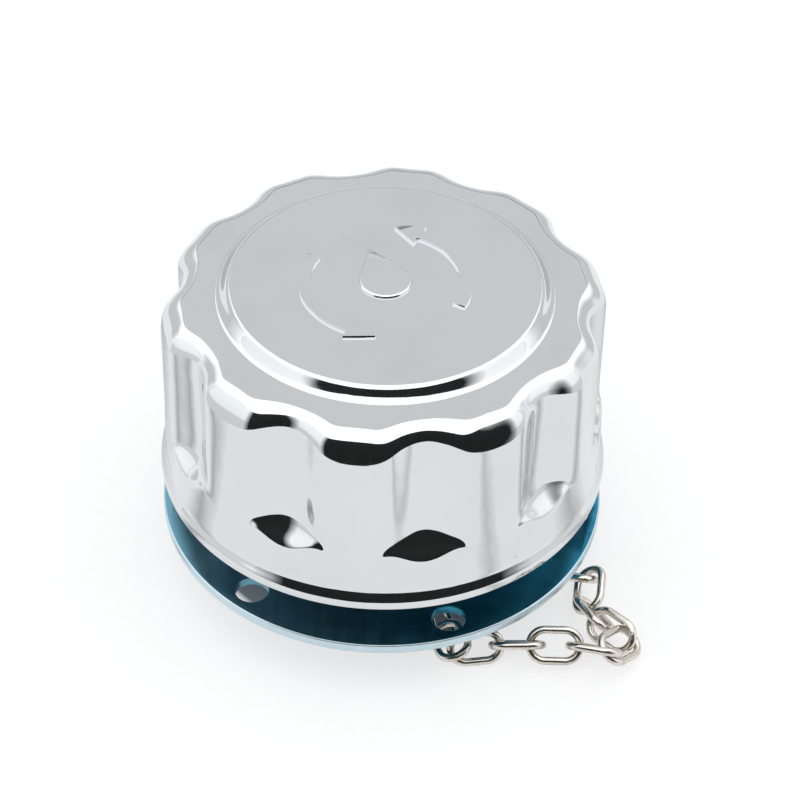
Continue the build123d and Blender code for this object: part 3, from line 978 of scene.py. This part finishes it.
# %% [markdown]
# ## The light tent
# Chrome shows the room, so the room is the finish. A studio puts such a thing in a white
# tent: pale walls all round and a bright diffuser overhead. The flat top mirrors one small
# part of it, so a light grey board with a darker rim hangs there, and keeps the top from
# burning out. Behind the cap the tent is dimmer. All this is made in the world's own nodes
# from the direction of each ray, so it stays put when the view moves.

# %% Light the scene
BOARD_BACK, BOARD_UP = 0.72, 0.695
BOARD_GLOW = 0.83
BACK_GLOW = 0.80
WALL_GLOW = 1.55
OVERHEAD_GLOW = 0.25
RIM_SHADE = 0.55


def light_the_tent():
    make = Recipe("light_tent", world=True)
    ray = make.node("ShaderNodeTexCoord", output="Generated")
    back, up = [make.node("ShaderNodeSeparateXYZ", {0: ray}, output=which) for which in (1, 2)]
    toward_board = back * BOARD_BACK + up * BOARD_UP
    board = toward_board.above(0.965, 0.008)
    rim = toward_board.above(0.945, 0.010) - board
    behind = back.above(0.30, 0.30) * (1 - up.above(0.55, 0.20)) * (1 - board)
    walls = WALL_GLOW + OVERHEAD_GLOW * up
    strength = walls * (1 - board) * (1 - behind) + BOARD_GLOW * board + behind * BACK_GLOW
    strength = strength * (1 - rim * RIM_SHADE)
    colour = make.blend(up.above(0.2, 1.2), (0.93, 0.965, 1.0), (0.99, 0.995, 1.0))
    sky = make.node("ShaderNodeBackground", {"Color": colour, "Strength": strength})
    make.node_out("ShaderNodeOutputWorld", sky)
    bpy.context.scene.world = make.owner


light_the_tent()
bpy.context.scene.view_settings.view_transform = "Standard"
bpy.context.scene.view_settings.look = "None"
print("world:", bpy.context.scene.world.name)

# %% [markdown]
# ## Cards for the reflections
# Black cards stand round a shiny thing, so that its edges show as dark lines against the
# white. The big one here curves round the front, where the camera looks over it, and thins
# out towards its ends, so that the lines taper. Faint grey spokes lie on the table: the
# upright walls mirror the table, and the spokes draw the upright lines that tell one flute
# from the next. The cards are only there for reflections: they throw no shadow and are not
# seen themselves.

# %% Stand the cards
# in metres, but the share
CARD_R = 0.138
CARD_HEIGHT = 0.160
CARD_MIDDLE_Z = 0.070
CARD_ENDS_AT = 0.012
SPOKES_INNER_R = 0.046
SPOKES_OUTER_SHARE = 3
SPOKES_LIFT = 0.0004
# bearing and half width in radians, darkness
SPOKES = ((-1.35, 0.16, 0.55), (0.72, 0.09, 0.35), (1.45, 0.20, 0.50), (-2.2, 0.5, 0.45), (2.3, 0.5, 0.45))


def mix_felt(name, shade, opacity):
    """Dark card whose opacity is a recipe of its place."""
    make = Recipe(name)
    tooth = make.noise(make.place(), 0.4, 3.0)
    colour = make.blend(tooth, (shade * 0.8,) * 3, (shade * 1.3,) * 3)
    felt = make.node("ShaderNodeBsdfPrincipled", {"Base Color": colour, "Roughness": 0.95})
    clear = make.node("ShaderNodeBsdfTransparent")
    mixed = make.node("ShaderNodeMixShader", {0: opacity(make), 1: clear, 2: felt})
    make.node_out("ShaderNodeOutputMaterial", mixed)
    return make.owner


def big_card_opacity(make):
    """Full in front, thin towards both ends."""
    bearing = make.bearing()
    left = (bearing * -1.0).above(0.78, 0.22)
    right = bearing.above(0.98, 0.26)
    return 1.0 - left * 0.78 - right * 0.80


def spokes_opacity(make):
    """Soft spokes at a few bearings round the cap."""
    bearing = make.bearing()
    opacity = 0.0
    for turn, half_width, darkness in SPOKES:
        spoke = (1.0 - (bearing - turn).absolute() / half_width).at_least(0.0)
        opacity = spoke * darkness + opacity
    return opacity


def keep_for_reflections(card, name, felt):
    card.name = name
    card.data.materials.append(felt)
    card.visible_camera = False
    card.visible_diffuse = False
    card.visible_shadow = False


def stand_big_card():
    deselect_everything()
    bpy.ops.mesh.primitive_cylinder_add(vertices=96, radius=CARD_R, depth=CARD_HEIGHT,
                                        end_fill_type="NOTHING", location=(0, 0, CARD_MIDDLE_Z))
    card = bpy.context.object
    bpy.ops.object.transform_apply(location=True, rotation=True, scale=True)
    start_editing(card)
    choose(card, lambda co: co.y > CARD_ENDS_AT)
    bpy.ops.mesh.delete(type="VERT")
    bpy.ops.object.mode_set(mode="OBJECT")
    keep_for_reflections(card, "big_black_card", mix_felt("black_card", 0.006, big_card_opacity))


def lay_spokes():
    deselect_everything()
    bpy.ops.mesh.primitive_circle_add(vertices=96, radius=SPOKES_INNER_R,
                                      location=(0, 0, cad_low.z + SPOKES_LIFT))
    ring = bpy.context.object
    bpy.ops.object.transform_apply(location=True, rotation=True, scale=True)
    start_editing(ring)
    bpy.ops.mesh.select_all(action="SELECT")
    bpy.ops.mesh.extrude_region_move(TRANSFORM_OT_translate={"value": (0, 0, 0)})
    bpy.ops.transform.resize(value=(SPOKES_OUTER_SHARE, SPOKES_OUTER_SHARE, 1), center_override=(0, 0, 0))
    bpy.ops.object.mode_set(mode="OBJECT")
    keep_for_reflections(ring, "grey_spokes", mix_felt("grey_card", 0.10, spokes_opacity))


stand_big_card()
lay_spokes()
print("cards for reflections: big_black_card, grey_spokes")

# %% [markdown]
# ## The floor
# The floor is white paper. Paper that is only lit turns out greyer than a lit backdrop, so
# it glows a little as well. Under the flange it does not, and the screw holes look dark.

# %% Lay the floor
# in metres
FLOOR_R = 6.0
FLOOR_GAP = 0.00002
# the dark patch under the flange, in millimetres
SHADE_R = 33.5
SHADE_STRETCH = 1.15
FLOOR_GLOW = 0.66


def lay_floor():
    make = Recipe("white_paper_sweep")
    tooth = make.noise(make.place(), 0.8, 4.0)
    colour = make.blend(tooth, (0.23, 0.23, 0.23), (0.26, 0.26, 0.26))
    radius = (make.axis(0) ** 2.0 + (make.axis(1) * SHADE_STRETCH) ** 2.0) ** 0.5
    glow = make.blend(radius.above(SHADE_R, 1.5), (0.02, 0.03, 0.04), (1, 1, 1))
    paper_sweep = make.surface(Base_Color=colour, Roughness=0.9, Emission_Color=glow,
                               Emission_Strength=FLOOR_GLOW, Normal=make.bump(tooth, 0.05, 0.0001))
    deselect_everything()
    bpy.ops.mesh.primitive_circle_add(vertices=96, radius=FLOOR_R, fill_type="NGON",
                                      location=(0, 0, cad_low.z - FLOOR_GAP))
    floor = bpy.context.object
    floor.name = "studio_floor"
    floor.data.materials.append(paper_sweep)


lay_floor()
print("floor at", round(cad_low.z / MM, 2), "mm")

# %% [markdown]
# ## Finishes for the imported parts
# The pleated filter and its perforated core are already the right shape and only take a
# better finish. The parts behind the new pieces take theirs too, so that nothing is left
# plain if a piece is ever taken away.

# %% Give the CAD parts their finishes
CAD_FINISHES = {
    "blue_zinc": blue_zinc, "clear_zinc": clear_zinc, "nickel": nickel, "rubber": rubber,
    "filter_paper": paper, "spring_steel": spring_steel, "chrome": chrome,
}
slots = {part["node"]: part["material_slot"] for part in frame["record"]["subparts"]}
for node, item in frame["nodes"].items():
    finish = CAD_FINISHES[slots[node]]
    if not item.data.materials:
        item.data.materials.append(finish)
    for index in range(len(item.data.materials)):
        item.data.materials[index] = finish
print("finished", len(frame["nodes"]), "CAD parts")
